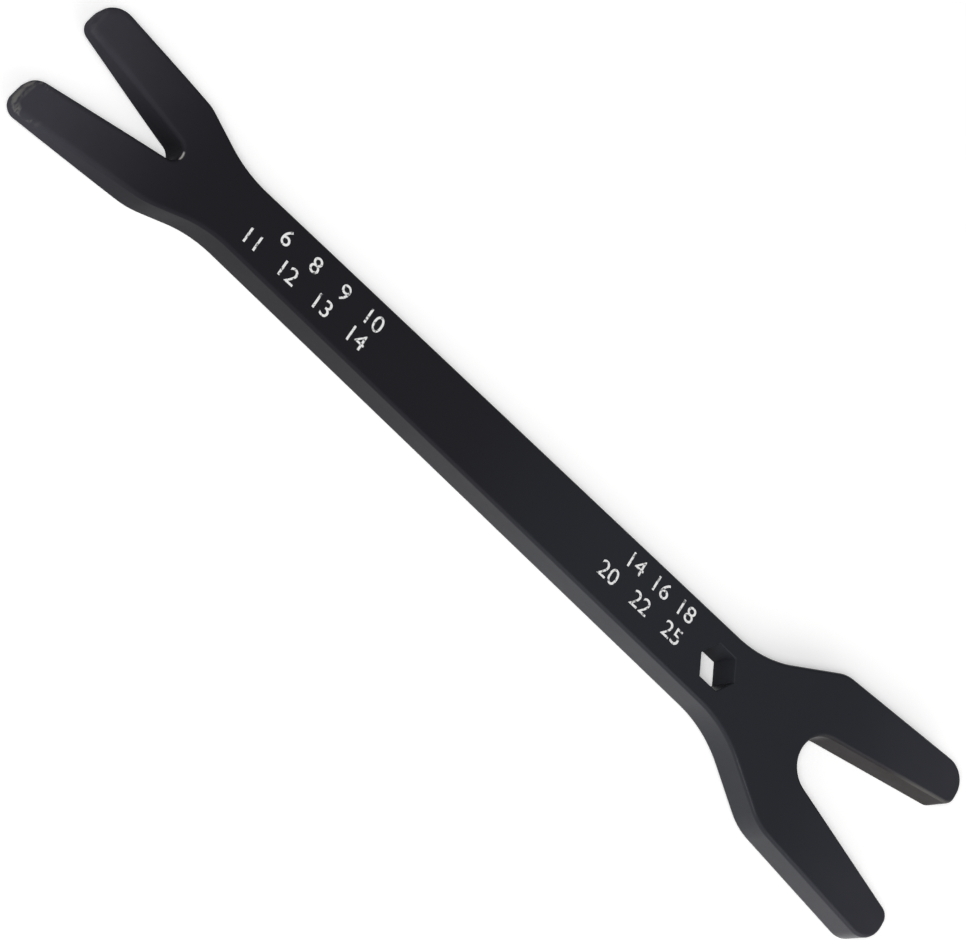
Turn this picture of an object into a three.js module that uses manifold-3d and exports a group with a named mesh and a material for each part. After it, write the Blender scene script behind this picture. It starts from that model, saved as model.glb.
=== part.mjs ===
// Self-tightening spanner: one steel forging with a V jaw at each end and a hexagonal hole in the shank.
// Millimetres. +X runs along the shank to the large jaw, Y across the flat, +Z up through the thickness.
// The origin lies on the lower flat face, under the middle of the spanner.
import * as THREE from "three";
import { mergeVertices } from "three/addons/utils/BufferGeometryUtils.js";
import Module from "manifold-3d";

// Forging
const mouthToMouth = 248; // along the centre line, from the mouth of one jaw to the mouth of the other
const thickness = 7.9;
const edgeRadius = 0.8; // rounding of the edges, from the flat to the wall
const smallTipEdgeRadius = 1.8; // the same rounding where it is widest, at the small prong tips

// Shank
const shankWidthAtSmallJaw = 14.6;
const shankWidthAtLargeJaw = 17.35;

// Large jaw
const largeHeadWidth = 46.5; // across the mouth, outer edge to outer edge
const largeHeadFlare = 5; // degrees that each outer edge leans out
const largeJawAngle = 27.6; // degrees between the two gripping faces
const largeJawDepth = 37.1; // from the mouth to the bottom of the root
const largeRootRadius = 6.6;
const largeShoulderReach = 36.9; // from the mouth to the shoulders
const largeShoulderRadiusLeft = 8;
const largeShoulderRadiusRight = 14;
const largeNeckAngle = 31.8; // degrees at which the head leaves the shank
const largeNeckRadius = 27;
const largeTipOuterRadius = 5.2;
const largeTipInnerRadius = 2.6;

// Small jaw
const smallHeadWidth = 33;
const smallHeadFlare = 7.7;
const smallMouthSlant = 7.7; // degrees off a square cut, which makes the left prong the shorter one
const smallJawAngle = 20.6;
const smallJawDepth = 30.45;
const smallRootRadius = 2.4;
const smallShoulderReach = 29.9;
const smallShoulderRadiusLeft = 8;
const smallShoulderRadiusRight = 23;
const smallNeckAngle = 21.5;
const smallNeckRadius = 29;
const smallTipOuterRadiusLeft = 4.9;
const smallTipOuterRadiusRight = 2.7;
const smallTipInnerRadiusLeft = 2.3;
const smallTipInnerRadiusRight = 4.1;
const smallMouthThickness = 3.2; // the small prongs thin to this, evenly from both faces
const thinningPower = 1.5; // above 1 the faces curve down, from the shoulders to the mouth

// Hexagonal hole
const hexAcrossFlats = 8.5;
const hexFromLargeMouth = 63.5; // from the mouth of the large jaw to the middle of the hole
const hexEdgeBreak = 0.2; // chamfer at both ends of the hole

// Fineness of the facets
const straightStep = 8;
const arcStep = 1;
const fewestArcSteps = 4;
const edgeSteps = 4;
const thinningStep = 4;
const edgeShareOfCorner = 0.9; // most that the edge rounding may take of a corner's own radius

const steelBlack = new THREE.MeshStandardMaterial({ color: 0x2d2e32, roughness: 0.42, metalness: 0.55 });

const wasm = await Module();
wasm.setup();

const largeHead = {
  mouth: mouthToMouth / 2,
  facing: 1, // the way along X that the jaw opens
  width: largeHeadWidth,
  flare: largeHeadFlare,
  mouthSlant: 0, // cut square
  jawAngle: largeJawAngle,
  jawDepth: largeJawDepth,
  rootRadius: largeRootRadius,
  shoulderReach: largeShoulderReach,
  neckAngle: largeNeckAngle,
  neckRadius: largeNeckRadius,
  shankWidth: shankWidthAtLargeJaw,
};
const smallHead = {
  mouth: -mouthToMouth / 2,
  facing: -1,
  width: smallHeadWidth,
  flare: smallHeadFlare,
  mouthSlant: smallMouthSlant,
  jawAngle: smallJawAngle,
  jawDepth: smallJawDepth,
  rootRadius: smallRootRadius,
  shoulderReach: smallShoulderReach,
  neckAngle: smallNeckAngle,
  neckRadius: smallNeckRadius,
  shankWidth: shankWidthAtSmallJaw,
};
const left = 1;
const right = -1;

function tanOfDegrees(degrees) {
  return Math.tan(THREE.MathUtils.degToRad(degrees));
}

// Depth below the mouth at which the two gripping faces would meet if the root weren't round.
function apexDepth(head) {
  const halfAngle = THREE.MathUtils.degToRad(head.jawAngle / 2);
  return head.jawDepth + head.rootRadius * (1 / Math.sin(halfAngle) - 1);
}

// A corner of the outline, by its depth below a mouth, its distance from the centre line and its rounding.
function corner(head, depth, offset, radius) {
  return { at: new THREE.Vector2(head.mouth - head.facing * depth, offset), radius };
}

function rootCorner(head) {
  return corner(head, apexDepth(head), 0, head.rootRadius);
}

// The corner where an edge of a prong meets the slanted mouth.
// The edge comes nearer to the centre line by its slope for each millimetre below the mouth.
function tipCorner(head, side, offsetAtMouth, slope, radius) {
  const lean = side * tanOfDegrees(head.mouthSlant);
  const offset = offsetAtMouth / (1 + lean * slope);
  return corner(head, lean * offset, side * offset, radius);
}

// Corners of one side of a head, from the inner tip corner round the outside to the neck.
function headSide(head, side, tipInnerRadius, tipOuterRadius, shoulderRadius) {
  const innerSlope = tanOfDegrees(head.jawAngle / 2);
  const outerSlope = tanOfDegrees(head.flare);
  const shoulderOffset = head.width / 2 - head.shoulderReach * outerSlope;
  const neckOffset = head.shankWidth / 2;
  const neckReach = head.shoulderReach + (shoulderOffset - neckOffset) / tanOfDegrees(head.neckAngle);
  return [
    tipCorner(head, side, apexDepth(head) * innerSlope, innerSlope, tipInnerRadius),
    tipCorner(head, side, head.width / 2, outerSlope, tipOuterRadius),
    corner(head, head.shoulderReach, side * shoulderOffset, shoulderRadius),
    corner(head, neckReach, side * neckOffset, head.neckRadius),
  ];
}

// The outline's corners, anticlockwise from the root of the large jaw.
function spannerCorners() {
  const largeTip = [largeTipInnerRadius, largeTipOuterRadius];
  const smallTipLeft = [smallTipInnerRadiusLeft, smallTipOuterRadiusLeft];
  const smallTipRight = [smallTipInnerRadiusRight, smallTipOuterRadiusRight];
  return [
    rootCorner(largeHead),
    ...headSide(largeHead, left, ...largeTip, largeShoulderRadiusLeft),
    ...headSide(smallHead, left, ...smallTipLeft, smallShoulderRadiusLeft).reverse(),
    rootCorner(smallHead),
    ...headSide(smallHead, right, ...smallTipRight, smallShoulderRadiusRight),
    ...headSide(largeHead, right, ...largeTip, largeShoulderRadiusRight).reverse(),
  ];
}

// A closed path of straight runs and arcs, with each corner rounded by its own radius.
// Where two roundings would meet on a short edge, each gets smaller until both fit.
function roundedPath(corners) {
  const turns = corners.map(({ at, radius }, i) => {
    const back = corners.at(i - 1).at.clone().sub(at);
    const ahead = corners[(i + 1) % corners.length].at.clone().sub(at);
    const halfAngle = back.angleTo(ahead) / 2;
    return { at, radius, back, ahead, halfAngle, run: radius / Math.tan(halfAngle) };
  });
  const path = new THREE.Path();
  turns.forEach(({ at, radius, back, ahead, halfAngle, run }, i) => {
    const roomBack = back.length() / (run + turns.at(i - 1).run);
    const roomAhead = ahead.length() / (run + turns[(i + 1) % turns.length].run);
    const share = Math.min(1, roomBack, roomAhead);
    const start = back.clone().setLength(run * share);
    const end = ahead.clone().setLength(run * share);
    const toCentre = start.clone().add(end).setLength((radius * share) / Math.sin(halfAngle));
    const hollow = back.cross(ahead) > 0;
    const centre = toCentre.clone().add(at);
    const startAngle = start.sub(toCentre).angle();
    const endAngle = end.sub(toCentre).angle();
    path.absarc(centre.x, centre.y, radius * share, startAngle, endAngle, hollow);
  });
  return path.closePath();
}

// How far a point lies along the small prongs: 0 at the shoulders, 1 at the mouth.
function alongSmallProng(x) {
  return Math.max(0, (smallHead.mouth + smallShoulderReach - x) / smallShoulderReach);
}

// Points along the outline, each with the direction out of the metal and the edge rounding there.
// At a rounded corner of the outline the edge rounding stays smaller than the corner.
function outlineStations(path) {
  return path.curves.flatMap((curve) => {
    const length = curve.getLength();
    const steps = curve.isLineCurve
      ? Math.ceil(length / straightStep)
      : Math.max(fewestArcSteps, Math.ceil(length / arcStep));
    const cornerRoom = curve.isLineCurve ? Infinity : curve.xRadius * edgeShareOfCorner;
    return Array.from({ length: steps }, (_, i) => {
      const at = curve.getPoint(i / steps);
      const along = curve.getTangent(i / steps);
      const edge = THREE.MathUtils.lerp(edgeRadius, smallTipEdgeRadius, Math.min(1, alongSmallProng(at.x)));
      return { at, outward: new THREE.Vector2(along.y, -along.x), edge: Math.min(edge, cornerRoom) };
    });
  });
}

// The forging at full thickness, lofted through rings from the lower flat round both edges to the upper flat.
function forgingGeometry(stations) {
  const ring = (angle, upper) =>
    stations.map(({ at, outward, edge }) => {
      const inset = edge * (1 - Math.cos(angle));
      const drop = edge * (1 - Math.sin(angle));
      const height = upper ? thickness - drop : drop;
      return [at.x - outward.x * inset, at.y - outward.y * inset, height];
    });
  const angles = Array.from({ length: edgeSteps + 1 }, (_, i) => (i / edgeSteps) * (Math.PI / 2));
  const rings = [
    ...angles.toReversed().map((angle) => ring(angle, false)),
    ...angles.map((angle) => ring(angle, true)),
  ];
  const count = stations.length;
  const top = (rings.length - 1) * count;
  const triangles = [];
  for (let level = 0; level < rings.length - 1; level += 1) {
    for (let i = 0; i < count; i += 1) {
      const low = level * count + i;
      const lowNext = level * count + ((i + 1) % count);
      triangles.push(low, lowNext, lowNext + count, low, lowNext + count, low + count);
    }
  }
  const flat = rings[0].map(([x, y]) => new THREE.Vector2(x, y));
  for (const [a, b, c] of THREE.ShapeUtils.triangulateShape(flat, [])) {
    triangles.push(c, b, a, top + a, top + b, top + c);
  }
  const geometry = new THREE.BufferGeometry();
  geometry.setAttribute("position", new THREE.Float32BufferAttribute(rings.flat(2), 3));
  return geometry.setIndex(triangles);
}

// The small prongs thin towards their tips, evenly from both faces, starting at the shoulders.
function thinSmallProngs(solid) {
  const middle = thickness / 2;
  const [rest, prongs] = solid.splitByPlane([1, 0, 0], smallHead.mouth + smallShoulderReach);
  const thinned = prongs.refineToLength(thinningStep).warp((point) => {
    const share = 1 - (1 - smallMouthThickness / thickness) * alongSmallProng(point[0]) ** thinningPower;
    point[2] = middle + (point[2] - middle) * share;
  });
  return rest.add(thinned);
}

// A six-sided cutter along Z with two flats parallel to the shank, narrower or wider at its upper end.
function hexCutter(acrossFlatsLow, acrossFlatsHigh, low, high) {
  const sides = 6;
  const cornerShare = 1 / Math.sqrt(3); // corner radius over distance across flats
  const cornerOnX = Math.PI / 2;
  const prism = new THREE.CylinderGeometry(
    acrossFlatsHigh * cornerShare,
    acrossFlatsLow * cornerShare,
    high - low,
    sides,
    1,
    false,
    cornerOnX,
  );
  prism.rotateX(Math.PI / 2);
  prism.translate(largeHead.mouth - hexFromLargeMouth, 0, (low + high) / 2);
  return prism;
}

function solidOf(geometry) {
  const bare = new THREE.BufferGeometry().setAttribute("position", geometry.getAttribute("position"));
  const merged = mergeVertices(bare.setIndex(geometry.getIndex()));
  return new wasm.Manifold(
    new wasm.Mesh({
      numProp: 3,
      vertProperties: merged.getAttribute("position").array,
      triVerts: new Uint32Array(merged.getIndex().array),
    }),
  );
}

function geometryOf(solid) {
  const { vertProperties, triVerts } = solid.getMesh();
  const geometry = new THREE.BufferGeometry();
  geometry.setAttribute("position", new THREE.BufferAttribute(vertProperties, 3));
  geometry.setIndex(new THREE.BufferAttribute(triVerts, 1));
  geometry.computeVertexNormals();
  return geometry;
}

// The hole runs past both faces, with a chamfer that opens it at each face.
function hexHole() {
  const beyond = hexEdgeBreak;
  const widened = hexAcrossFlats + 2 * (hexEdgeBreak + beyond);
  const bore = hexCutter(hexAcrossFlats, hexAcrossFlats, -beyond, thickness + beyond);
  const lowerBreak = hexCutter(widened, hexAcrossFlats, -beyond, hexEdgeBreak);
  const upperBreak = hexCutter(hexAcrossFlats, widened, thickness - hexEdgeBreak, thickness + beyond);
  return solidOf(bore).add(solidOf(lowerBreak)).add(solidOf(upperBreak));
}

// A slanted mouth reaches further out on one side, so the solid is moved to lie evenly about the origin.
function centredAlongX(solid) {
  const { min, max } = solid.boundingBox();
  return solid.translate([-(min[0] + max[0]) / 2, 0, 0]);
}

const blank = solidOf(forgingGeometry(outlineStations(roundedPath(spannerCorners()))));
const forging = centredAlongX(thinSmallProngs(blank).subtract(hexHole()));
const spannerBody = new THREE.Mesh(geometryOf(forging), steelBlack);
spannerBody.name = "spanner_body";

const spanner = new THREE.Group();
spanner.add(spannerBody);

export default spanner;
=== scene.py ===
import math

import bmesh
import bpy
from mathutils import Matrix, Vector


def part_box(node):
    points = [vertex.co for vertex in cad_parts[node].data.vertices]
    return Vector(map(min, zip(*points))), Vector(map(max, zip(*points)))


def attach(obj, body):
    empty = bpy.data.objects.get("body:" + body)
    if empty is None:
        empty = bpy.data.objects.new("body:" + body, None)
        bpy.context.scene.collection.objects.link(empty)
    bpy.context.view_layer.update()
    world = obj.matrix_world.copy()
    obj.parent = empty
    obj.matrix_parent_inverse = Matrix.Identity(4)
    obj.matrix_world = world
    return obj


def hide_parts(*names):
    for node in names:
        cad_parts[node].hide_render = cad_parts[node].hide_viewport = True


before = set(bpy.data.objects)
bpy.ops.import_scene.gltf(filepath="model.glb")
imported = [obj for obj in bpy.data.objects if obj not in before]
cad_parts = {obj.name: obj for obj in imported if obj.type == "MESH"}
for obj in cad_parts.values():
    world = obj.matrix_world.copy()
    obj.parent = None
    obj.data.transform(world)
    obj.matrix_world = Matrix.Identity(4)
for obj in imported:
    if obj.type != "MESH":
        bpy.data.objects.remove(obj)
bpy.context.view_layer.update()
bodyLow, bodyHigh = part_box("spanner_body")
scene = bpy.context.scene
scene.view_settings.view_transform = "Standard"
print("frame loaded, spanner is %.0f mm long" % ((bodyHigh.x - bodyLow.x) * 1000))


# node helpers, shared by the geometry trees and the materials

def wire(tree, value, socket):
    if isinstance(value, bpy.types.NodeSocket):
        tree.links.new(value, socket)
    else:
        socket.default_value = value


def put(tree, kind, inputs=None, **settings):
    node = tree.nodes.new(kind)
    for name, value in settings.items():
        setattr(node, name, value)
    for key, value in (inputs or {}).items():
        wire(tree, value, node.inputs[key])
    return node


def calc(tree, operation, *values, clamp=False):
    inputs = dict(enumerate(values))
    return put(tree, "ShaderNodeMath", inputs, operation=operation, use_clamp=clamp).outputs[0]


def vectorCalc(tree, operation, *values, output="Vector"):
    inputs = dict(enumerate(values))
    return put(tree, "ShaderNodeVectorMath", inputs, operation=operation).outputs[output]


def scaled(tree, vector, factor):
    node = put(tree, "ShaderNodeVectorMath", {"Vector": vector, "Scale": factor}, operation="SCALE")
    return node.outputs["Vector"]


def split(tree, vector):
    return put(tree, "ShaderNodeSeparateXYZ", {"Vector": vector}).outputs


def upward(tree, height):
    return put(tree, "ShaderNodeCombineXYZ", {"Z": height}).outputs[0]


def ramp(tree, value, low, high, start=0.0, end=1.0, style="SMOOTHSTEP"):
    inputs = {"Value": value, "From Min": low, "From Max": high, "To Min": start, "To Max": end}
    return put(tree, "ShaderNodeMapRange", inputs, interpolation_type=style).outputs["Result"]


# helpers for the geometry trees

def startTree(name, inputs, outputs):
    tree = bpy.data.node_groups.new(name, "GeometryNodeTree")
    for label, kind in inputs.items():
        tree.interface.new_socket(label, in_out="INPUT", socket_type="NodeSocket" + kind)
    for label in outputs:
        tree.interface.new_socket(label, in_out="OUTPUT", socket_type="NodeSocketGeometry")
    return tree, tree.nodes.new("NodeGroupInput").outputs, tree.nodes.new("NodeGroupOutput").inputs


def join(tree, *parts):
    node = put(tree, "GeometryNodeJoinGeometry")
    for part in parts:
        tree.links.new(part, node.inputs[0])
    return node.outputs[0]


def storeFloat(tree, geometry, name, value, domain="POINT"):
    inputs = {"Geometry": geometry, "Name": name, "Value": value}
    node = put(tree, "GeometryNodeStoreNamedAttribute", inputs, data_type="FLOAT", domain=domain)
    return node.outputs[0]


def finishTree(tree, geometry, material, result):
    plain = put(tree, "GeometryNodeRealizeInstances", {"Geometry": geometry})
    coated = put(tree, "GeometryNodeSetMaterial", {"Geometry": plain.outputs[0], "Material": material})
    tree.links.new(coated.outputs[0], result)


def bakeTree(name, carrier, tree, values):
    modifier = carrier.modifiers.new(tree.name, "NODES")
    modifier.node_group = tree
    for item in tree.interface.items_tree:
        if item.in_out == "INPUT" and item.name in values:
            modifier[item.identifier] = values[item.name]
    shaped = carrier.evaluated_get(bpy.context.evaluated_depsgraph_get())
    mesh = bpy.data.meshes.new_from_object(shaped)
    carrier.modifiers.remove(modifier)
    bpy.data.objects.remove(carrier)
    mesh.name = name
    piece = bpy.data.objects.new(name, mesh)
    scene.collection.objects.link(piece)
    return piece


# helpers for the materials

def startMaterial(name):
    material = bpy.data.materials.new(name)
    material.use_nodes = True
    return material, material.node_tree, material.node_tree.nodes["Principled BSDF"].inputs


def noise(tree, vector, size, detail, roughness):
    inputs = {"Vector": vector, "Scale": 1 / size, "Detail": detail, "Roughness": roughness}
    return put(tree, "ShaderNodeTexNoise", inputs).outputs["Fac"]


def blend(tree, factor, first, second):
    inputs = {"Factor": factor, "A": first, "B": second}
    return put(tree, "ShaderNodeMix", inputs, data_type="RGBA").outputs["Result"]


# camera at the photograph's angle

photoView = {
    "place": (-0.28378, -0.36269, 0.68940),
    "right": (0.68153, 0.49522, 0.53877),  # the picture's right and up, in the spanner's frame
    "up": (-0.64772, 0.75084, 0.12920),
    "lens": 154.97,
    "sensor": 36.0,
    "clipStart": 0.01,
}


def aimCamera(view):
    data = bpy.data.cameras.new("photoCamera")
    data.sensor_fit = "HORIZONTAL"
    data.sensor_width = view["sensor"]
    data.lens = view["lens"]
    data.clip_start = view["clipStart"]
    camera = bpy.data.objects.new("photoCamera", data)
    right = Vector(view["right"]).normalized()
    back = right.cross(Vector(view["up"])).normalized()
    up = back.cross(right)
    turn = Matrix((right, up, back)).transposed().to_4x4()
    camera.matrix_world = Matrix.Translation(view["place"]) @ turn
    scene.collection.objects.link(camera)
    scene.camera = camera


aimCamera(photoView)
print("camera aimed")


# black finish of the forging: a satin coat, painted lighter towards the large end, greyer at the prongs,
# worn on the jaw faces and small tips, with painted shade in the hole and painted highlights on the large
# jaw's edges and the small root

blackCoat = {
    "shankShadedSmallEnd": (0.0153, 0.0148, 0.0180, 1),  # shank, painted darker at the small end
    "shankLitLargeEnd": (0.0198, 0.0215, 0.0264, 1),
    "shadeToLightReach": 0.03,  # painted light: lighter and bluer towards the large end, one turning into the other this far to both sides of the middle
    "tipGrey": (0.042, 0.042, 0.051, 1),  # prong tips
    "tipGreyStart": 0.085,  # distance from the middle at which the coat starts to grey
    "tipGreyEnd": 0.128,
    "tipGreyLargeEnd": 0.56,  # the large prongs are greyed less
    "gripWorn": (0.028, 0.024, 0.0235, 1),  # faces of the large jaw, browner where nuts have slid
    "gripFrom": 0.075,
    "gripFade": 0.015,
    "gripEdgeWornAndLit": (0.085, 0.082, 0.079, 1),  # and the edges of those faces towards the tips, worn and with a painted highlight
    "gripEdgeFrom": 0.106,
    "gripEdgeFade": 0.012,
    "gripEdgeGain": 2.0,
    "holeShadeLow": (0.0165, 0.0176, 0.0220, 1),  # painted shade on the walls of the hole, darkest at the lower flat
    "holeShadeHigh": (0.0256, 0.0273, 0.0340, 1),  # and lighter at the upper one
    "scuffed": (0.12, 0.116, 0.112, 1),
    "scuffFrom": -0.1165,  # edges are scuffed from here to the small tips
    "scuffFade": 0.006,
    "scuffLeft": 0.2,  # and the left tip has less of it
    "scuffLeftFade": 0.002,
    "scuffStretch": (0.0012, 0.004, 0.0012),  # streaks along the mouth
    "scuffDetail": 3.0,
    "scuffNone": 0.45,  # noise level at which a streak starts, and at which it is full
    "scuffFull": 0.62,
    "glint": (0.48, 0.47, 0.45, 1),  # painted highlight on the edge of the small root
    "glintPlace": (-0.0924, 0.0001, 0.0077),
    "glintSize": 0.0012,
    "glintCore": 0.5,  # share of that size that is fully bright
    "glintPower": 8,  # keeps it on the crest of the edge
    "mottleSize": 0.012,
    "mottleDetail": 4.0,
    "patchLow": 0.6,  # greying and wear are this and the gain times the mottle, about 1 on average
    "patchGain": 0.8,
    "smoothest": 0.28,
    "smoothMottle": 0.3,  # mottle level of the smoothest patches, and of the roughest
    "roughest": 0.36,
    "roughMottle": 0.7,
    "roughTips": 0.30,  # what the small tips have more
    "roughGrip": 0.15,  # and the faces of both jaws
    "glossTips": 0.02,  # small tips
    "glossNeck": 0.05,  # small end of the shank
    "glossGain": 0.145,  # what the large end has more
    "gripGloss": 0.2,  # share of the gloss that is left on the faces of both jaws and in the hole
    "glossTint": (0.97, 0.94, 1.0, 1),
    "tipsAt": -0.12,  # the shine changes from the small tips to the neck, then along the shank
    "neckAt": -0.06,
    "grainSize": 0.00035,
    "grainDetail": 2.0,
    "grainHeight": 0.000012,
    "grainStrength": 0.35,
    "noiseRoughness": 0.55,
}


def coatColour(tree, look, place, mottle, bands):
    axes = split(tree, place)
    x = axes["X"]
    edge, grip = bands["edgeBand"], bands["gripFace"]
    patchy = calc(tree, "MULTIPLY_ADD", mottle, look["patchGain"], look["patchLow"])

    # greyer from the shank to the prongs
    towardsTips = calc(tree, "ADD", ramp(tree, x, -look["tipGreyStart"], -look["tipGreyEnd"]),
               ramp(tree, x, look["tipGreyStart"], look["tipGreyEnd"], 0.0, look["tipGreyLargeEnd"]))
    # painted light: the shank is painted lighter towards the large end
    deep = blend(tree, ramp(tree, x, -look["shadeToLightReach"], look["shadeToLightReach"]),
                 look["shankShadedSmallEnd"], look["shankLitLargeEnd"])
    face = blend(tree, calc(tree, "MULTIPLY", towardsTips, patchy, clamp=True), deep, look["tipGrey"])

    # worn faces of the large jaw, their edges worn and with a painted highlight, and painted shade in the
    # hole
    slid = ramp(tree, x, look["gripFrom"], look["gripFrom"] + look["gripFade"])
    slidPatches = calc(tree, "MULTIPLY", grip, calc(tree, "MULTIPLY", slid, patchy), clamp=True)
    worn = blend(tree, slidPatches, face, look["gripWorn"])
    # edge wear and a painted highlight on the crests of the large jaw's edges
    edgeWearAndHighlight = calc(tree, "MULTIPLY", calc(tree, "MULTIPLY", edge, grip),
                  ramp(tree, x, look["gripEdgeFrom"], look["gripEdgeFrom"] + look["gripEdgeFade"],
                       0.0, look["gripEdgeGain"]))
    edged = blend(tree, calc(tree, "MULTIPLY", edgeWearAndHighlight, patchy, clamp=True), worn, look["gripEdgeWornAndLit"])
    holeShade = blend(tree, ramp(tree, axes["Z"], bodyLow.z, bodyHigh.z), look["holeShadeLow"], look["holeShadeHigh"])
    dark = blend(tree, bands["holeWall"], edged, holeShade)

    # streaky scuffs on the edges of the small tips
    stretched = vectorCalc(tree, "DIVIDE", place, look["scuffStretch"])
    streaks = ramp(tree, noise(tree, stretched, 1.0, look["scuffDetail"], look["noiseRoughness"]),
                   look["scuffNone"], look["scuffFull"])
    tips = calc(tree, "MULTIPLY", ramp(tree, x, look["scuffFrom"], look["scuffFrom"] - look["scuffFade"]),
                ramp(tree, axes["Y"], -look["scuffLeftFade"], look["scuffLeftFade"], 1.0, look["scuffLeft"]))
    scuffs = calc(tree, "MULTIPLY", edge, calc(tree, "MULTIPLY", tips, streaks))
    scuffed = blend(tree, scuffs, dark, look["scuffed"])

    # painted highlight: a bright spot on the edge of the small root
    fromRoot = vectorCalc(tree, "DISTANCE", place, look["glintPlace"], output="Value")
    near = ramp(tree, fromRoot, look["glintSize"], look["glintCore"] * look["glintSize"])
    glint = calc(tree, "MULTIPLY", calc(tree, "POWER", edge, look["glintPower"]), near)
    return blend(tree, glint, scuffed, look["glint"])


def coatShine(tree, look, place, mottle, bands):
    x = split(tree, place)["X"]
    grip = bands["gripFace"]
    satin = ramp(tree, mottle, look["smoothMottle"], look["roughMottle"],
                 look["smoothest"], look["roughest"])
    atTips = ramp(tree, x, look["tipsAt"], look["neckAt"], look["roughTips"], 0.0)
    dulled = calc(tree, "MULTIPLY_ADD", grip, look["roughGrip"], atTips)
    roughness = calc(tree, "ADD", satin, dulled)
    toNeck = ramp(tree, x, look["tipsAt"], look["neckAt"], look["glossTips"], look["glossNeck"])
    alongShank = ramp(tree, x, look["neckAt"], -look["neckAt"], 0.0, look["glossGain"])
    gloss = calc(tree, "ADD", toNeck, alongShank)
    inner = calc(tree, "MAXIMUM", grip, bands["holeWall"])
    glossLeft = calc(tree, "MULTIPLY_ADD", inner, look["gripGloss"] - 1, 1)
    return roughness, calc(tree, "MULTIPLY", gloss, glossLeft)


def coatMaterial(look):
    material, tree, shader = startMaterial("blackCoat")
    place = put(tree, "ShaderNodeTexCoord").outputs["Object"]
    mottle = noise(tree, place, look["mottleSize"], look["mottleDetail"], look["noiseRoughness"])
    bands = {name: put(tree, "ShaderNodeAttribute", attribute_name=name).outputs["Fac"]
             for name in ("edgeBand", "gripFace", "holeWall")}
    roughness, gloss = coatShine(tree, look, place, mottle, bands)
    grain = noise(tree, place, look["grainSize"], look["grainDetail"], look["noiseRoughness"])
    bump = put(tree, "ShaderNodeBump", {
        "Strength": look["grainStrength"], "Distance": look["grainHeight"], "Height": grain})
    wire(tree, coatColour(tree, look, place, mottle, bands), shader["Base Color"])
    wire(tree, roughness, shader["Roughness"])
    wire(tree, gloss, shader["Specular IOR Level"])
    wire(tree, look["glossTint"], shader["Specular Tint"])
    wire(tree, bump.outputs["Normal"], shader["Normal"])
    return material


coat = coatMaterial(blackCoat)
print("black coat mixed")


# the forging: corners of the outline, each with its rounding, for the tree to fillet and loft

shank = {
    "widthAtSmall": 0.0146,
    "widthAtLarge": 0.01735,
    "mouthToMouth": 0.248,
    "holeFromMouth": 0.0635,  # the large one
}
largeJaw = {
    "mouth": bodyHigh.x,
    "facing": 1,
    "width": 0.0465,
    "flare": 5.0,  # degrees
    "slant": 0.0,
    "jawAngle": 27.6,
    "jawDepth": 0.0371,
    "rootRadius": 0.0066,
    "shoulderReach": 0.0369,
    "neckAngle": 31.8,
    "neckWidth": shank["widthAtLarge"],
    "radiiLeft": (0.0026, 0.0052, 0.0080, 0.0270),  # inner tip, outer tip, shoulder, neck
    "radiiRight": (0.0026, 0.0052, 0.0140, 0.0270),
}
smallJaw = {
    "mouth": bodyHigh.x - shank["mouthToMouth"],
    "facing": -1,
    "width": 0.0330,
    "flare": 7.7,
    "slant": 7.7,  # mouth cut on a slant, so the left prong is the short one
    "jawAngle": 20.6,
    "jawDepth": 0.03045,
    "rootRadius": 0.0024,
    "shoulderReach": 0.0299,
    "neckAngle": 21.5,
    "neckWidth": shank["widthAtSmall"],
    "radiiLeft": (0.0023, 0.0049, 0.0080, 0.0290),
    "radiiRight": (0.0041, 0.0027, 0.0230, 0.0290),
}
forging = {
    "Thickness": bodyHigh.z - bodyLow.z,
    "Edge Rounding": 0.0008,
    "Tip Rounding": 0.0018,  # the edges get rounder along the small prongs
    "Prong Start": smallJaw["mouth"] + smallJaw["shoulderReach"],  # small prongs thin from here to the mouth
    "Prong Length": smallJaw["shoulderReach"],
    "Mouth Thickness": 0.0032,
    "Thin Power": 1.5,
    "Outline Step": 0.0005,
    "Fillet Points": 32,
    "Edge Rows": 6,
    "Rim Margin": 0.0002,  # strip of the flat that belongs to the wall
    "Weld Distance": 0.000002,
    "Hole Centre": (largeJaw["mouth"] - shank["holeFromMouth"], 0.0, 0.0),
    "Hole Across Flats": 0.0085,
    "Hole Chamfer": 0.0002,
    "Finish": coat,
}


def apexDepth(jaw):  # where the two faces of the jaw would meet
    return jaw["jawDepth"] + jaw["rootRadius"] * (1 / math.sin(math.radians(jaw["jawAngle"] / 2)) - 1)


def jawRoot(jaw):
    return (jaw["mouth"] - jaw["facing"] * apexDepth(jaw), 0.0, jaw["rootRadius"])


def jawSide(jaw, left):  # corners from the inner tip round the outside to the neck, as x, y and rounding
    side, radii = (1, jaw["radiiLeft"]) if left else (-1, jaw["radiiRight"])
    innerSlope, outerSlope, lean, neckSlope = (math.tan(math.radians(angle)) for angle in (
        jaw["jawAngle"] / 2, jaw["flare"], side * jaw["slant"], jaw["neckAngle"]))
    inner = apexDepth(jaw) * innerSlope / (1 + lean * innerSlope)  # where the edges meet the slanted mouth
    outer = jaw["width"] / 2 / (1 + lean * outerSlope)
    shoulder = jaw["width"] / 2 - jaw["shoulderReach"] * outerSlope
    neck = jaw["neckWidth"] / 2
    neckReach = jaw["shoulderReach"] + (shoulder - neck) / neckSlope
    depths = (lean * inner, lean * outer, jaw["shoulderReach"], neckReach)
    return [(jaw["mouth"] - jaw["facing"] * depth, side * offset, radius)
            for depth, offset, radius in zip(depths, (inner, outer, shoulder, neck), radii)]


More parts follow.
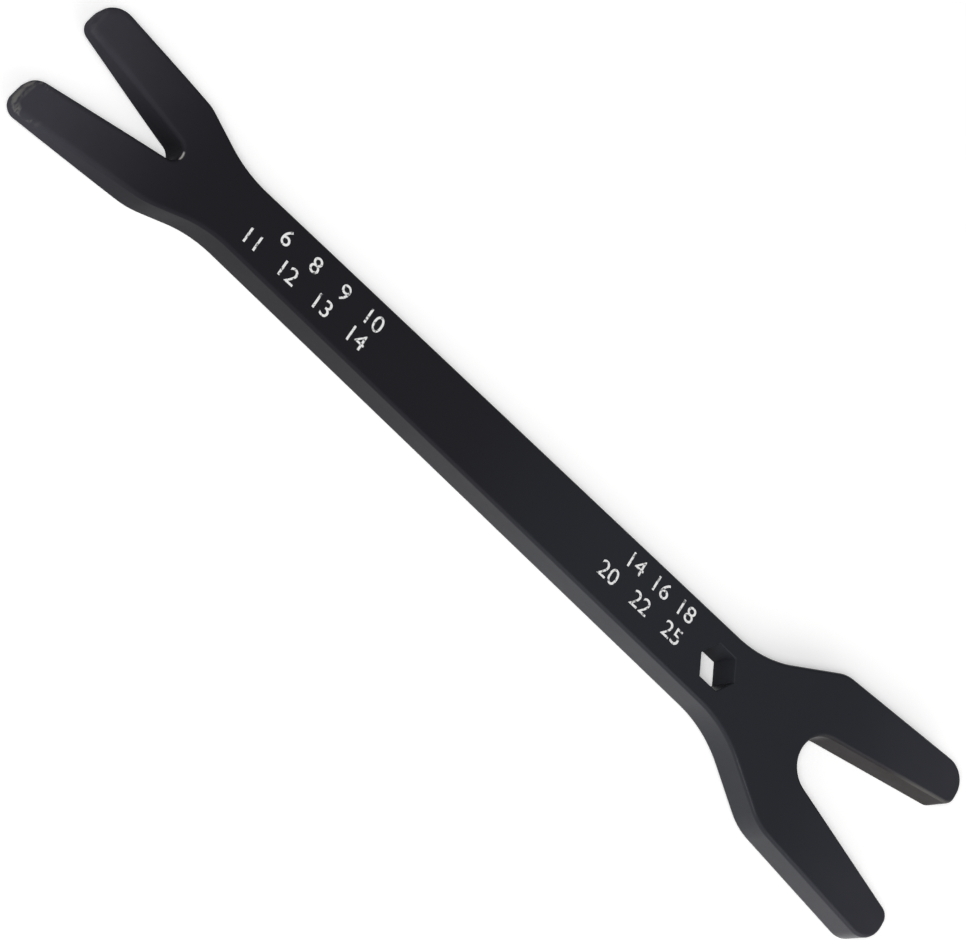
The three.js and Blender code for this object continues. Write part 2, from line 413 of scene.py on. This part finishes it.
def cornerCurve():  # anticlockwise, so the metal lies on the left
    corners = [jawRoot(largeJaw), *jawSide(largeJaw, True), *reversed(jawSide(smallJaw, True)),
               jawRoot(smallJaw), *jawSide(smallJaw, False), *reversed(jawSide(largeJaw, False))]
    curve = bpy.data.curves.new("spannerCorners", "CURVE")
    curve.dimensions = "3D"
    spline = curve.splines.new("POLY")
    spline.points.add(len(corners) - 1)
    spline.use_cyclic_u = True
    for point, (x, y, radius) in zip(spline.points, corners):
        point.co = (x, y, 0, 1)
        point.radius = radius
    carrier = bpy.data.objects.new("spannerCorners", curve)
    scene.collection.objects.link(carrier)
    return carrier


def roundedWallTree():  # wall round a closed outline with both edges rounded, and the rims of its flats
    tree, given, result = startTree("roundedWall", {
        "Outline": "Geometry", "Thickness": "Float", "Rounding": "Float", "Mitre": "Float",
        "Rim Margin": "Float", "Edge Rows": "Int"}, ["Wall", "Rim"])
    here = put(tree, "GeometryNodeInputPosition").outputs[0]
    tangent = put(tree, "GeometryNodeInputTangent").outputs[0]
    across = scaled(tree, vectorCalc(tree, "CROSS_PRODUCT", tangent, (0, 0, 1)), given["Mitre"])

    # a sheet with a column for each point of the outline, and rows from the lower rim to the upper one
    count = put(tree, "GeometryNodeAttributeDomainSize", {"Geometry": given["Outline"]},
                component="CURVE").outputs["Point Count"]
    lastRow = calc(tree, "MULTIPLY_ADD", given["Edge Rows"], 2, 3)
    sheet = put(tree, "GeometryNodeMeshGrid", {
        "Size X": count, "Size Y": lastRow,
        "Vertices X": calc(tree, "ADD", count, 1), "Vertices Y": calc(tree, "ADD", lastRow, 1)})
    cell = split(tree, here)
    halfRows = calc(tree, "MULTIPLY", lastRow, 0.5)
    column = calc(tree, "ROUND", calc(tree, "MULTIPLY_ADD", count, 0.5, cell["X"]))
    station = calc(tree, "MODULO", column, count)  # the last column lies on the first
    row = calc(tree, "ROUND", calc(tree, "ADD", cell["Y"], halfRows))

    # turn round the edge at each row: none on the wall, a quarter where the flat starts
    fromRim = calc(tree, "MINIMUM", row, calc(tree, "SUBTRACT", lastRow, row))
    rowsLeft = calc(tree, "SUBTRACT", calc(tree, "ADD", given["Edge Rows"], 1), fromRim)
    share = calc(tree, "MINIMUM", calc(tree, "DIVIDE", rowsLeft, given["Edge Rows"]), 1)
    angle = calc(tree, "MULTIPLY", share, math.pi / 2)

    def atStation(value, dataType):
        inputs = {"Geometry": given["Outline"], "Value": value, "Index": station}
        return put(tree, "GeometryNodeSampleIndex", inputs, data_type=dataType).outputs[0]

    spot, outward = atStation(here, "FLOAT_VECTOR"), atStation(across, "FLOAT_VECTOR")
    rounding = atStation(given["Rounding"], "FLOAT")
    margin = calc(tree, "MULTIPLY", given["Rim Margin"], calc(tree, "LESS_THAN", fromRim, 0.5))
    inset = calc(tree, "MULTIPLY_ADD", rounding,
                 calc(tree, "SUBTRACT", 1, calc(tree, "COSINE", angle)), margin)
    drop = calc(tree, "MULTIPLY", rounding, calc(tree, "SUBTRACT", 1, calc(tree, "SINE", angle)))
    flat = calc(tree, "MULTIPLY", calc(tree, "GREATER_THAN", row, halfRows), given["Thickness"])
    height = calc(tree, "ABSOLUTE", calc(tree, "SUBTRACT", flat, drop))
    inward = scaled(tree, outward, calc(tree, "MULTIPLY", inset, -1))
    target = vectorCalc(tree, "ADD", vectorCalc(tree, "ADD", spot, inward), upward(tree, height))

    # for the finish: 1 half way round an edge, and 1 on walls that face the middle
    edge = calc(tree, "SINE", calc(tree, "MULTIPLY", angle, 2))
    half = calc(tree, "SIGN", split(tree, spot)["Y"])
    toMiddle = calc(tree, "MULTIPLY", split(tree, outward)["Y"],
                    calc(tree, "MULTIPLY", half, -1), clamp=True)
    grip = calc(tree, "MULTIPLY", toMiddle, calc(tree, "SUBTRACT", 1, share))
    banded = storeFloat(tree, sheet.outputs["Mesh"], "edgeBand", edge)
    marked = storeFloat(tree, banded, "gripFace", grip)

    wall = put(tree, "GeometryNodeSetPosition", {"Geometry": marked, "Position": target})
    tree.links.new(wall.outputs[0], result["Wall"])
    setBack = calc(tree, "MULTIPLY", calc(tree, "ADD", given["Rounding"], given["Rim Margin"]), -1)
    rim = put(tree, "GeometryNodeSetPosition", {
        "Geometry": given["Outline"], "Offset": scaled(tree, across, setBack)})
    tree.links.new(rim.outputs[0], result["Rim"])
    return tree


def forgingTree():
    tree, given, result = startTree("spannerForging", {
        "Corners": "Geometry", "Thickness": "Float", "Edge Rounding": "Float", "Tip Rounding": "Float",
        "Prong Start": "Float", "Prong Length": "Float", "Mouth Thickness": "Float", "Thin Power": "Float",
        "Outline Step": "Float", "Fillet Points": "Int", "Edge Rows": "Int", "Rim Margin": "Float",
        "Weld Distance": "Float", "Hole Centre": "Vector", "Hole Across Flats": "Float",
        "Hole Chamfer": "Float", "Finish": "Material"}, ["Geometry"])
    wallTree = roundedWallTree()
    here = split(tree, put(tree, "GeometryNodeInputPosition").outputs[0])
    pastShoulder = calc(tree, "SUBTRACT", given["Prong Start"], here["X"])
    alongProng = calc(tree, "DIVIDE", pastShoulder, given["Prong Length"])  # 1 at the small mouth

    def wallRound(outline, rounding, mitre, edgeRows):
        return put(tree, "GeometryNodeGroup", {
            "Outline": outline, "Thickness": given["Thickness"], "Rounding": rounding, "Mitre": mitre,
            "Rim Margin": given["Rim Margin"], "Edge Rows": edgeRows}, node_tree=wallTree).outputs

    # outside wall along the filleted outline
    cornerRadius = put(tree, "GeometryNodeInputRadius").outputs[0]
    fillet = put(tree, "GeometryNodeFilletCurve", {
        "Curve": given["Corners"], "Count": given["Fillet Points"], "Radius": cornerRadius}, mode="POLY")
    outline = put(tree, "GeometryNodeResampleCurve", {
        "Curve": fillet.outputs[0], "Length": given["Outline Step"]}, mode="LENGTH")
    rounding = ramp(tree, alongProng, 0.0, 1.0, given["Edge Rounding"], given["Tip Rounding"], "LINEAR")
    outside = wallRound(outline.outputs[0], rounding, 1.0, given["Edge Rows"])

    # wall of the hexagonal hole, run the other way round because the metal lies outside it
    toCorner = calc(tree, "DIVIDE", given["Hole Across Flats"], math.sqrt(3))
    hexagon = put(tree, "GeometryNodeCurvePrimitiveCircle", {
        "Resolution": 6, "Radius": toCorner}, mode="RADIUS")
    turned = put(tree, "GeometryNodeReverseCurve", {"Curve": hexagon.outputs["Curve"]})
    placed = put(tree, "GeometryNodeTransform", {
        "Geometry": turned.outputs[0], "Translation": given["Hole Centre"]})
    mitre = 1 / math.cos(math.pi / 6)  # a hexagon's
    hole = wallRound(placed.outputs[0], given["Hole Chamfer"], mitre, 1)
    crisp = put(tree, "GeometryNodeSetShadeSmooth", {"Geometry": hole["Wall"], "Shade Smooth": False})
    facing = split(tree, put(tree, "GeometryNodeInputNormal").outputs[0])
    upright = calc(tree, "LESS_THAN", calc(tree, "ABSOLUTE", facing["Z"]), 0.5)  # leaves out the broken edge
    holeWall = storeFloat(tree, crisp.outputs[0], "holeWall", upright, "FACE")

    # flats between the rims, welded to the walls
    rims = join(tree, outside["Rim"], hole["Rim"])
    lower = put(tree, "GeometryNodeFillCurve", {"Curve": rims}, mode="TRIANGLES").outputs[0]
    upper = put(tree, "GeometryNodeTransform", {
        "Geometry": lower, "Translation": upward(tree, given["Thickness"])})
    turnedDown = put(tree, "GeometryNodeFlipFaces", {"Mesh": lower})
    whole = join(tree, upper.outputs[0], turnedDown.outputs[0], holeWall, outside["Wall"])
    welded = put(tree, "GeometryNodeMergeByDistance", {
        "Geometry": whole, "Distance": given["Weld Distance"]})

    # small prongs, thinned alike from both faces
    bend = calc(tree, "POWER", calc(tree, "MAXIMUM", alongProng, 0), given["Thin Power"])
    loss = calc(tree, "SUBTRACT", 1, calc(tree, "DIVIDE", given["Mouth Thickness"], given["Thickness"]))
    aboveMiddle = calc(tree, "SUBTRACT", here["Z"], calc(tree, "MULTIPLY", given["Thickness"], 0.5))
    pinch = calc(tree, "MULTIPLY", calc(tree, "MULTIPLY", bend, loss),
                 calc(tree, "MULTIPLY", aboveMiddle, -1))
    thinned = put(tree, "GeometryNodeSetPosition", {
        "Geometry": welded.outputs[0], "Offset": upward(tree, pinch)})
    finishTree(tree, thinned.outputs[0], given["Finish"], result["Geometry"])
    return tree


spanner = bakeTree("spannerForging", cornerCurve(), forgingTree(), forging)
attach(spanner, "root")
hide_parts("spanner_body")
print("forging lofted, %d faces" % len(spanner.data.polygons))


# white print: plain nut sizes in rows along the shank, one point for each number

printInk = {
    "white": (0.82, 0.82, 0.82, 1),
    "worn": (0.10, 0.10, 0.105, 1),
    "patchSize": 0.0007,
    "patchDetail": 3.0,
    "patchRoughness": 0.5,
    "patchNone": 0.46,  # noise level above which no ink is missing, and below which all of it is
    "patchFull": 0.36,
    "roughness": 0.6,
}
sizeMarks = {
    "rows": [  # first number's x, the row's y, pitch, numbers
        (-0.0660, 0.0027, 0.0080, (6, 8, 9, 10)),
        (-0.0715, -0.0027, 0.0095, (11, 12, 13, 14)),
        (0.0335, 0.0040, 0.0075, (14, 16, 18)),
        (0.0295, -0.0018, 0.0095, (20, 22, 25)),
    ],
    "tree": {
        "Face Height": bodyHigh.z,
        "Glyph Height": 0.0052,
        "Relief": 0.00003,
        "Weld Distance": 0.000001,
    },
}


def inkMaterial(look):
    material, tree, shader = startMaterial("printInk")
    place = put(tree, "ShaderNodeTexCoord").outputs["Object"]
    patches = noise(tree, place, look["patchSize"], look["patchDetail"], look["patchRoughness"])
    missing = ramp(tree, patches, look["patchFull"], look["patchNone"], 1.0, 0.0, "LINEAR")
    wire(tree, blend(tree, missing, look["white"], look["worn"]), shader["Base Color"])
    wire(tree, look["roughness"], shader["Roughness"])
    return material


def numberPoints(rows):
    mesh = bpy.data.meshes.new("numberPoints")
    spots = [(x + i * pitch, y, 0) for x, y, pitch, numbers in rows for i in range(len(numbers))]
    mesh.from_pydata(spots, [], [])
    values = mesh.attributes.new("nutSize", "INT", "POINT")
    values.data.foreach_set("value", [number for row in rows for number in row[3]])
    carrier = bpy.data.objects.new("numberPoints", mesh)
    scene.collection.objects.link(carrier)
    return carrier


def numberTree():  # draws each point's own number flat on the shank
    tree, given, result = startTree("sizeMarks", {
        "Points": "Geometry", "Face Height": "Float", "Glyph Height": "Float", "Relief": "Float",
        "Weld Distance": "Float", "Ink": "Material"}, ["Geometry"])
    zoneStart = tree.nodes.new("GeometryNodeForeachGeometryElementInput")
    zoneEnd = tree.nodes.new("GeometryNodeForeachGeometryElementOutput")
    zoneStart.pair_with_output(zoneEnd)
    zoneEnd.domain = "POINT"
    zoneEnd.input_items.new("INT", "Number")
    zoneEnd.input_items.new("VECTOR", "Spot")
    number = put(tree, "GeometryNodeInputNamedAttribute", {"Name": "nutSize"}, data_type="INT")
    spot = put(tree, "GeometryNodeInputPosition")
    tree.links.new(given["Points"], zoneStart.inputs["Geometry"])
    tree.links.new(number.outputs["Attribute"], zoneStart.inputs["Number"])
    tree.links.new(spot.outputs[0], zoneStart.inputs["Spot"])

    # the number's outlines, filled, raised and closed underneath
    words = put(tree, "FunctionNodeValueToString", {"Value": zoneStart.outputs["Number"]}, data_type="INT")
    glyphs = put(tree, "GeometryNodeStringToCurves", {
        "String": words.outputs[0], "Size": given["Glyph Height"]}, align_x="CENTER", align_y="MIDDLE")
    loose = put(tree, "GeometryNodeRealizeInstances", {"Geometry": glyphs.outputs[0]})
    filled = put(tree, "GeometryNodeFillCurve", {"Curve": loose.outputs[0]}, mode="NGONS").outputs[0]
    raised = put(tree, "GeometryNodeExtrudeMesh", {
        "Mesh": filled, "Offset Scale": given["Relief"], "Individual": False}, mode="FACES")
    backs = put(tree, "GeometryNodeFlipFaces", {"Mesh": filled})
    whole = join(tree, raised.outputs["Mesh"], backs.outputs[0])
    closed = put(tree, "GeometryNodeMergeByDistance", {
        "Geometry": whole, "Distance": given["Weld Distance"]})
    seat = vectorCalc(tree, "ADD", zoneStart.outputs["Spot"], upward(tree, given["Face Height"]))
    moved = put(tree, "GeometryNodeTransform", {"Geometry": closed.outputs[0], "Translation": seat})
    tree.links.new(moved.outputs[0], zoneEnd.inputs["Geometry"])
    finishTree(tree, zoneEnd.outputs[2], given["Ink"], result["Geometry"])  # 2 is what the zone has drawn
    return tree


marks = bakeTree("sizeMarks", numberPoints(sizeMarks["rows"]), numberTree(),
                 {**sizeMarks["tree"], "Ink": inkMaterial(printInk)})
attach(marks, "root")
print("size marks printed, %d faces" % len(marks.data.polygons))


# pale floor and soft light

studio = {
    "floorHalf": 1.5,
    "floorDrop": 0.0002,
    "floorColour": (0.92, 0.92, 0.92, 1),
    "floorRoughness": 1.0,
    "floorGloss": 0.0,
    "floorGlow": 0.28,  # what the eye and the gloss see of the floor above its lit colour
    "skyTilt": (0.0, 0.9, 0.436),  # the sky dims this way, from the camera's side to the far side
    "sky": [(0.22, 0.95), (0.55, 0.25), (0.85, 0.20), (0.95, 0.02)],  # way across, tone
}
lamps = {
    "keySoftbox": {"place": (-0.43, -0.545, 1.035), "size": 0.35, "power": 9.0, "colour": (1.0, 1.0, 1.0)},
    "sideSoftbox": {"place": (0.65, -0.40, 0.60), "size": 0.8, "power": 2.5, "colour": (1.0, 0.99, 0.98)},
}


def floorMaterial(look):
    material, tree, shader = startMaterial("paleFloor")
    wire(tree, look["floorColour"], shader["Base Color"])
    wire(tree, look["floorRoughness"], shader["Roughness"])
    wire(tree, look["floorGloss"], shader["Specular IOR Level"])
    wire(tree, look["floorColour"], shader["Emission Color"])
    path = put(tree, "ShaderNodeLightPath").outputs
    mirrored = calc(tree, "MAXIMUM", path["Is Glossy Ray"], path["Is Transmission Ray"])
    seen = calc(tree, "MAXIMUM", path["Is Camera Ray"], mirrored)
    wire(tree, calc(tree, "MULTIPLY", seen, look["floorGlow"]), shader["Emission Strength"])
    return material


def layFloor(look):
    mesh = bpy.data.meshes.new("floor")
    shape = bmesh.new()
    half = look["floorHalf"]
    shape.faces.new([shape.verts.new((x, y, bodyLow.z - look["floorDrop"]))
                     for x, y in ((-half, -half), (half, -half), (half, half), (-half, half))])
    shape.to_mesh(mesh)
    shape.free()
    mesh.materials.append(floorMaterial(look))
    floor = bpy.data.objects.new("floor", mesh)
    scene.collection.objects.link(floor)


def hangLamp(name, look):
    data = bpy.data.lights.new(name, "AREA")
    data.size = look["size"]
    data.energy = look["power"]
    data.color = look["colour"]
    lamp = bpy.data.objects.new(name, data)
    lamp.location = look["place"]
    lamp.rotation_euler = (-Vector(look["place"])).to_track_quat("-Z", "Y").to_euler()
    scene.collection.objects.link(lamp)


def paintSky(look):
    world = bpy.data.worlds.new("studio")
    world.use_nodes = True
    tree = world.node_tree
    direction = put(tree, "ShaderNodeTexCoord").outputs["Generated"]
    toFarSide = vectorCalc(tree, "DOT_PRODUCT", direction, look["skyTilt"], output="Value")
    sky = put(tree, "ShaderNodeValToRGB", {"Fac": calc(tree, "MULTIPLY_ADD", toFarSide, 0.5, 0.5)})
    stops = sky.color_ramp.elements
    for stop in look["sky"][2:]:  # two are there already
        stops.new(stop[0])
    for stop, (position, tone) in zip(stops, look["sky"]):
        stop.position = position
        stop.color = (tone, tone, tone, 1)
    tree.links.new(sky.outputs["Color"], tree.nodes["Background"].inputs["Color"])
    scene.world = world


layFloor(studio)
for name, look in lamps.items():
    hangLamp(name, look)
paintSky(studio)
print("floor and lamps set")
